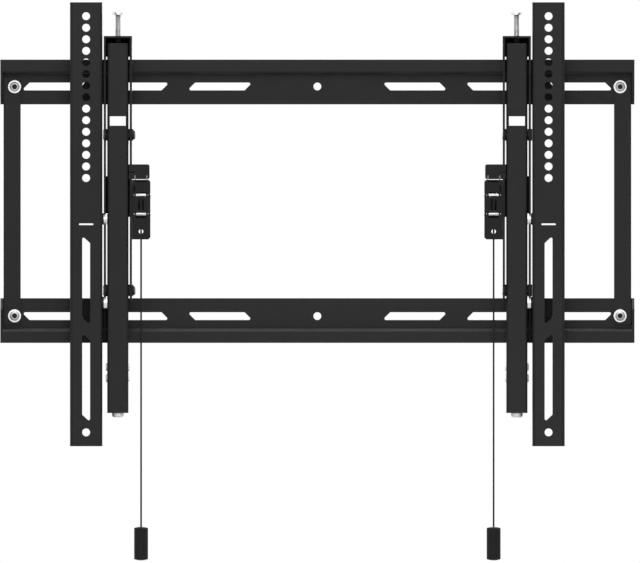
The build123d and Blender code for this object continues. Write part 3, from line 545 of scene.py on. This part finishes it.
def level_screw(name, x, body):
    """The levelling screw: a button head with a hexagon socket, and a thread down to its point."""
    angles = [2 * math.pi * k / SCREW_SIDES for k in range(SCREW_SIDES)]
    centre = Vector((x, -SCREW_DEPTH, 0.0))
    head_low = SCREW_TOP - HEAD_HEIGHT
    sixth = math.pi / 3
    socket = [SOCKET_FLAT / math.cos((a + sixth / 2) % sixth - sixth / 2) for a in angles]
    rings = []

    def add_ring(z, radii):
        rings.append([
            centre + Vector((radius * math.cos(a), radius * math.sin(a), z))
            for a, radius in zip(angles, radii)
        ])

    def add_circle(z, radius):
        add_ring(z, [radius] * SCREW_SIDES)

    steps = round((head_low - SCREW_LOW) / THREAD_PITCH * THREAD_TURN_RINGS)
    for i in range(steps):
        z = SCREW_LOW + (head_low - SCREW_LOW) * i / steps
        add_ring(z, thread_radii(z, angles))
    add_circle(head_low, SHANK_RADIUS)
    add_circle(head_low, HEAD_RADIUS - HEAD_CHAMFER)
    add_circle(head_low + HEAD_CHAMFER, HEAD_RADIUS)
    for i in range(HEAD_ROUNDING_STEPS + 1):
        turn = math.pi / 2 * i / HEAD_ROUNDING_STEPS
        rise = SCREW_TOP - HEAD_ROUNDING * (1 - math.sin(turn))
        add_circle(rise, HEAD_RADIUS - HEAD_ROUNDING * (1 - math.cos(turn)))
    add_ring(SCREW_TOP, [radius + SOCKET_CHAMFER for radius in socket])
    add_ring(SCREW_TOP - SOCKET_CHAMFER, socket)
    add_ring(SCREW_TOP - SOCKET_DEPTH, socket)

    mesh = new_mesh(name, *lofted(rings), bright_finish)
    mesh.materials.append(thread_finish)
    for face in mesh.polygons:
        if face.center.z < head_low - THREAD_HEAD_GAP:
            face.material_index = 1
    return add_piece(name, mesh, body)


def spring_path(x):
    """A coil from the rod's seat up to the slider, with closed turns at both ends."""
    low = SPRING_LOW + SPRING_WIRE
    high = SPRING_HIGH - SPRING_WIRE
    closed = SPRING_END_TURNS * 2 * SPRING_WIRE
    middle_turns = SPRING_TURNS - 2 * SPRING_END_TURNS
    path = []
    steps = SPRING_TURNS * SPRING_TURN_STEPS
    for i in range(steps + 1):
        turns = SPRING_TURNS * i / steps
        if turns < SPRING_END_TURNS:
            z = low + 2 * SPRING_WIRE * turns
        elif turns > SPRING_TURNS - SPRING_END_TURNS:
            z = high - 2 * SPRING_WIRE * (SPRING_TURNS - turns)
        else:
            share = (turns - SPRING_END_TURNS) / middle_turns
            z = low + closed + (high - low - 2 * closed) * share
        a = 2 * math.pi * turns
        path.append(Vector((x + SPRING_RADIUS * math.cos(a), SPRING_RADIUS * math.sin(a) - CORD_DEPTH, z)))
    return path


def return_springs(name, middle, body):
    """Both coil springs of one arm as one piece."""
    places = (middle - SPRING_SPREAD, middle + SPRING_SPREAD)
    coils = joined([tube(spring_path(x), SPRING_WIRE, SPRING_SIDES) for x in places])
    return add_piece(name, new_mesh(name, *coils, finishes["spring_steel"]), body)


def cord_curve(name, x, body):
    """The pull cord: one smooth spline that hangs from its knot to the handle."""
    curve = bpy.data.curves.new(name, "CURVE")
    curve.dimensions = "3D"
    curve.bevel_depth = CORD_RADIUS
    curve.bevel_resolution = CORD_ROUNDNESS
    curve.use_fill_caps = True
    spline = curve.splines.new("NURBS")
    spline.points.add(len(CORD_HEIGHTS) - 1)
    for point, z in zip(spline.points, CORD_HEIGHTS):
        point.co = (0.0, 0.0, z, 1.0)
    spline.order_u = 3
    spline.use_endpoint_u = True
    curve.materials.append(finishes["cord"])
    cord = add_object(name, curve, (x, -CORD_DEPTH, 0.0))
    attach(cord, body)
    return cord


def cord_knot(name, x, body):
    """The knot above the flap: the cord tied round itself, in a trefoil about its own middle."""
    path = []
    for i in range(KNOT_STEPS + 1):
        t = 2 * math.pi * i / KNOT_STEPS
        reach = KNOT_SIZE * (2 + math.cos(3 * t))
        path.append(Vector((reach * math.cos(2 * t), reach * math.sin(2 * t), KNOT_RISE * math.sin(3 * t))))
    mesh = new_mesh(name, *tube(path, KNOT_RADIUS, KNOT_SIDES), finishes["cord"])
    return add_piece(name, mesh, body, place=(x, -CORD_DEPTH, CORD_TOP))


def groove_blocks(x, sign, front):
    """Blocks that reach into the slider's face where its grooves are, and bring painted shade into them."""
    near = front - GROOVE_DEPTH
    far = front + GROOVE_DEPTH
    blocks = []
    for aside, width, low, high in GROOVES:
        left = x + sign * aside - width / 2
        right = x + sign * aside + width / 2
        corners = ((left, near), (right, near), (right, far), (left, far))
        blocks.append(lofted([[Vector((*corner, z)) for corner in corners] for z in (low, high)]))
    return new_mesh("groove_blocks", *joined(blocks), groove_shade_finish)


def welded_copy(name, source, finish):
    """A copy of a mesh with its split points joined, one finish and no stored normals."""
    mesh = bpy.data.meshes.new(name)
    form = bmesh.new()
    form.from_mesh(source)
    bmesh.ops.remove_doubles(form, verts=form.verts, dist=WELD)
    form.to_mesh(mesh)
    form.free()
    stored_normals = mesh.attributes.get("custom_normal")
    if stored_normals:
        mesh.attributes.remove(stored_normals)
    mesh.materials.append(finish)
    return mesh


def cut_mesh(mesh, cutter_mesh):
    """A mesh with another cut out of it, which leaves its finish in the cut."""
    blank = add_object("blank", mesh)
    cutter = add_object("cutter", cutter_mesh)
    cut = blank.modifiers.new("cut", "BOOLEAN")
    cut.operation = "DIFFERENCE"
    cut.solver = "EXACT"
    cut.material_mode = "TRANSFER"
    cut.object = cutter
    evaluated = blank.evaluated_get(bpy.context.evaluated_depsgraph_get())
    result = bpy.data.meshes.new_from_object(evaluated)
    for helper in (blank, cutter):
        bpy.data.objects.remove(helper)
    return result


def grooved_slider(name, node, x, sign, front, body):
    """The release slider with the narrow grooves pressed into its face, dark with painted shade."""
    mesh = cut_mesh(welded_copy(name, node.data, slider_finish), groove_blocks(x, sign, front))
    return add_piece(name, mesh, body, sharp_angle=SLIDER_ANGLE)


def slider_web(name, x, front, body):
    """The web between the two slits of the slider's face, with rounded long edges."""
    # Each corner's side, whether it is at the back, and the quarter turn that its rounding starts from
    corners = ((1, 0, 3), (1, 1, 0), (-1, 1, 1), (-1, 0, 2))
    outline = []
    for aside, back, quarter in corners:
        centre_x = x + aside * (WEB_WIDTH / 2 - WEB_EDGE)
        centre_y = front + WEB_EDGE + back * (WEB_SHEET - 2 * WEB_EDGE)
        for k in range(WEB_EDGE_STEPS + 1):
            a = math.pi / 2 * (quarter + k / WEB_EDGE_STEPS)
            outline.append((centre_x + WEB_EDGE * math.cos(a), centre_y + WEB_EDGE * math.sin(a)))
    rings = [[Vector((*point, z)) for point in outline] for z in (WEB_BOTTOM, WEB_TOP)]
    return add_piece(name, new_mesh(name, *lofted(rings), slider_finish), body)


# New pieces of both arms
for side, sign in SIDES.items():
    arm_x = sign * ARM_AXIS
    cord_x = arm_x - sign * CORD_OFFSET
    screw = level_screw(f"{side}_threaded_screw", arm_x, f"{side}_level")
    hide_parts(f"{side}_level_screw")
    springs = return_springs(f"{side}_coil_springs", cord_x, f"{side}_hanger")
    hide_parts(f"{side}_return_springs")
    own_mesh(springs)
    cord = cord_curve(f"{side}_cord", cord_x, f"{side}_latch")
    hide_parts(f"{side}_pull_cord")
    slider_node = nodes[f"{side}_release_slider"]
    slider_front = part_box(f"{side}_release_slider")[0][1]
    slider = grooved_slider(
        f"{side}_grooved_slider", slider_node, cord_x, sign, slider_front, f"{side}_latch")
    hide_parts(f"{side}_release_slider")
    slider_web(f"{side}_slider_web", cord_x, slider_front, f"{side}_latch")
    knot = cord_knot(f"{side}_cord_knot", cord_x, f"{side}_latch")


def seen_ray(tree):
    """1 for what the camera sees, itself, in reflections or through glass, and 0 for light on the object."""
    rays = tree.nodes.new("ShaderNodeLightPath").outputs
    seen = rays["Is Camera Ray"]
    for other in ("Is Glossy Ray", "Is Transmission Ray"):
        seen = math_node(tree, "MAXIMUM", seen, rays[other])
    return seen


def studio_floor():
    """A floor that is pale under the object, where it takes its shadow, and white further off."""
    material, tree, shader = new_material("floor")
    shader.inputs["Base Color"].default_value = (FLOOR_TONE, FLOOR_TONE, FLOOR_TONE, 1.0)
    shader.inputs["Roughness"].default_value = 0.9
    shader.inputs["Specular IOR Level"].default_value = 0.1
    distance = vector_length(tree, object_place(tree))
    away = map_range(tree, distance, FLOOR_NEAR, FLOOR_FAR, 0.0, 1.0, "SMOOTHSTEP")
    white = tree.nodes.new("ShaderNodeEmission")
    mix = tree.nodes.new("ShaderNodeMixShader")
    tree.links.new(math_node(tree, "MULTIPLY", away, seen_ray(tree)), mix.inputs["Fac"])
    tree.links.new(shader.outputs["BSDF"], mix.inputs[1])
    tree.links.new(white.outputs["Emission"], mix.inputs[2])
    tree.links.new(mix.outputs["Shader"], first_node(tree, "OUTPUT_MATERIAL").inputs["Surface"])
    half = FLOOR_SIZE / 2
    corners = ((-half, -half, 0.0), (half, -half, 0.0), (half, half, 0.0), (-half, half, 0.0))
    mesh = new_mesh("floor", corners, [(0, 1, 2, 3)], material)
    add_object("floor", mesh, (0.0, 0.0, FLOOR_Z))


def studio_world():
    """A world that is white to the camera and in reflections, and a plain soft grey as light."""
    world = bpy.data.worlds.new("studio")
    world.use_nodes = True
    tree = world.node_tree
    background = first_node(tree, "BACKGROUND")
    background.inputs["Color"].default_value = (1.0, 1.0, 1.0, 1.0)
    strength = map_range(tree, seen_ray(tree), 0.0, 1.0, WORLD_LIGHT, WORLD_WHITE)
    tree.links.new(strength, background.inputs["Strength"])
    bpy.context.scene.world = world


def softbox(name, place, target, size, power):
    """A large square lamp that faces a target and doesn't show itself."""
    lamp = bpy.data.lights.new(name, "AREA")
    lamp.shape = "SQUARE"
    lamp.size = size
    lamp.energy = power
    holder = add_object(name, lamp, place)
    holder.rotation_mode = "QUATERNION"
    holder.rotation_quaternion = (Vector(target) - Vector(place)).to_track_quat("-Z", "Y")
    holder.visible_camera = False


def front_camera():
    """A camera straight in front of the bracket, so far off that it hardly shows perspective."""
    camera_data = bpy.data.cameras.new("camera")
    camera_data.lens = CAMERA_LENS
    camera_data.sensor_width = CAMERA_SENSOR
    camera_data.clip_end = CAMERA_REACH
    distance = FRAME_WIDTH * CAMERA_LENS / CAMERA_SENSOR
    camera = add_object("camera", camera_data, FRAME_CENTRE - Vector((0.0, distance, 0.0)))
    camera.rotation_euler = (math.pi / 2, 0.0, 0.0)
    bpy.context.scene.camera = camera


# Studio: lamps by place, target, size in metres and power in watts
studio_floor()
studio_world()
softbox("key", place=(-0.2, -2.6, 1.2), target=(0.0, 0.0, -0.05), size=1.4, power=22.0)
softbox("front", place=(0.2, -2.8, -0.9), target=(0.0, 0.0, -0.05), size=1.0, power=18.0)
softbox("top", place=(0.0, -0.4, 2.2), target=(0.0, 0.0, 0.0), size=1.2, power=38.0)
softbox("behind", place=(0.5, 2.4, 1.0), target=(0.0, 0.0, 0.0), size=1.6, power=40.0)
front_camera()
bpy.context.scene.view_settings.view_transform = "Standard"

bpy.context.view_layer.update()
